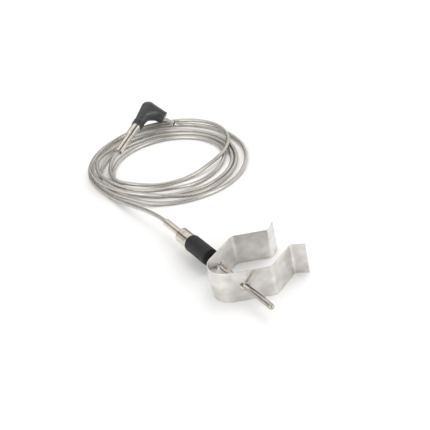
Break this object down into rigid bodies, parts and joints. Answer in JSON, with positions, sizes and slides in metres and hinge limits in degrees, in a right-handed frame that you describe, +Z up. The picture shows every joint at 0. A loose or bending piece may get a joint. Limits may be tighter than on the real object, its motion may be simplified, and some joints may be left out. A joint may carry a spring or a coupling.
{
  "type": "clip-on air temperature thermocouple",
  "caption": "Straight thermocouple probe with a rubber grip sleeve, a sprung strip clip sliding on its sheath, a coiled braided cable and a right-angle jack plug.",
  "frame": {"origin": "the measuring junction on the sheath's axis, 3 mm behind the end of the rounded tip", "axes": "+X along the probe towards its tip, +Z up from the surface it lies on, +Y out of the clip's mouth"},
  "size_m": [0.2652, 0.1069, 0.0228],
  "materials": {
    "polished_steel": "polished stainless tube",
    "nickel": "bright nickel plate",
    "strip_steel": "satin rolled stainless spring strip",
    "braid_steel": "woven stainless wire braid",
    "black_rubber": "matt black silicone rubber",
    "black_moulding": "satin black moulding",
    "grey_plastic": "hard black moulding",
    "ceramic": "unglazed alumina",
    "core_insulation": "glass-fibre and silicone insulation",
    "positive_alloy": "nickel-chromium alloy wire",
    "negative_alloy": "nickel-aluminium alloy wire",
    "copper_tinned": "tinned copper",
    "sleeve_red": "glass-fibre sleeving, red",
    "sleeve_blue": "glass-fibre sleeving, blue",
    "sealant": "high-temperature silicone sealant",
    "solder": "solder"
  },
  "bodies": {
    "cable": {"cable_braid": "braid_steel", "cable_core": "core_insulation"},
    "probe": {"probe_sheath": "polished_steel", "ceramic_insulator": "ceramic", "tip_packing": "ceramic", "junction_bead": "positive_alloy", "thermo_wire_positive": "positive_alloy", "thermo_wire_negative": "negative_alloy", "collar_body": "nickel", "collar_end_bush": "nickel", "crimp_ferrule": "nickel", "splice_crimp_positive": "copper_tinned", "splice_crimp_negative": "copper_tinned", "splice_sleeve_positive": "sleeve_red", "splice_sleeve_negative": "sleeve_blue", "potting_plug": "sealant", "probe_end_braid": "braid_steel", "probe_end_core": "core_insulation", "probe_end_conductor_positive": "positive_alloy", "probe_end_conductor_negative": "negative_alloy"},
    "sleeve": {"grip_sleeve": "black_rubber"},
    "clip": {"clip_bow": "strip_steel"},
    "front_arm": {"clip_front_arm": "strip_steel"},
    "rear_arm": {"clip_rear_arm": "strip_steel"},
    "plug": {"plug_end_braid": "braid_steel", "plug_end_core": "core_insulation", "plug_end_conductor_positive": "positive_alloy", "plug_end_conductor_negative": "negative_alloy", "strain_relief_tube": "nickel", "strain_relief_collar": "nickel", "plug_boot": "black_moulding", "plug_insert": "grey_plastic", "jack_barrel": "nickel", "jack_insulator": "grey_plastic", "jack_tip": "nickel", "sleeve_lug": "copper_tinned", "solder_joint_positive": "solder", "solder_joint_negative": "solder"}
  },
  "joints": [
    {"name": "probe_flex", "type": "hinge", "parent": "cable", "child": "probe", "pos_m": [-0.1117, 0, 0], "axis": [0, 0, 1], "range_deg": [-25, 25]},
    {"name": "plug_flex", "type": "hinge", "parent": "cable", "child": "plug", "pos_m": [-0.231, 0.02197, -0.00391], "axis": [0.8572, 0.515, 0], "range_deg": [0, 30]},
    {"name": "clip_turn", "type": "hinge", "parent": "probe", "child": "sleeve", "pos_m": [-0.066, 0, 0], "axis": [1, 0, 0], "continuous": true},
    {"name": "clip_slide", "type": "slide", "parent": "sleeve", "child": "clip", "axis": [1, 0, 0], "range_m": [-0.006, 0.02]},
    {"name": "front_arm_squeeze", "type": "hinge", "parent": "clip", "child": "front_arm", "pos_m": [-0.0319, -0.01105, 0], "axis": [0, 0, 1], "range_deg": [0, 4], "stiffness_Nm_per_rad": 1.2},
    {"name": "rear_arm_squeeze", "type": "hinge", "parent": "clip", "child": "rear_arm", "pos_m": [-0.0387, -0.01105, 0], "axis": [0, 0, -1], "range_deg": [0, 4], "stiffness_Nm_per_rad": 1.2}
  ],
  "couplings": [
    {"joint": "rear_arm_squeeze", "follows": "front_arm_squeeze", "ratio": 1}
  ]
}
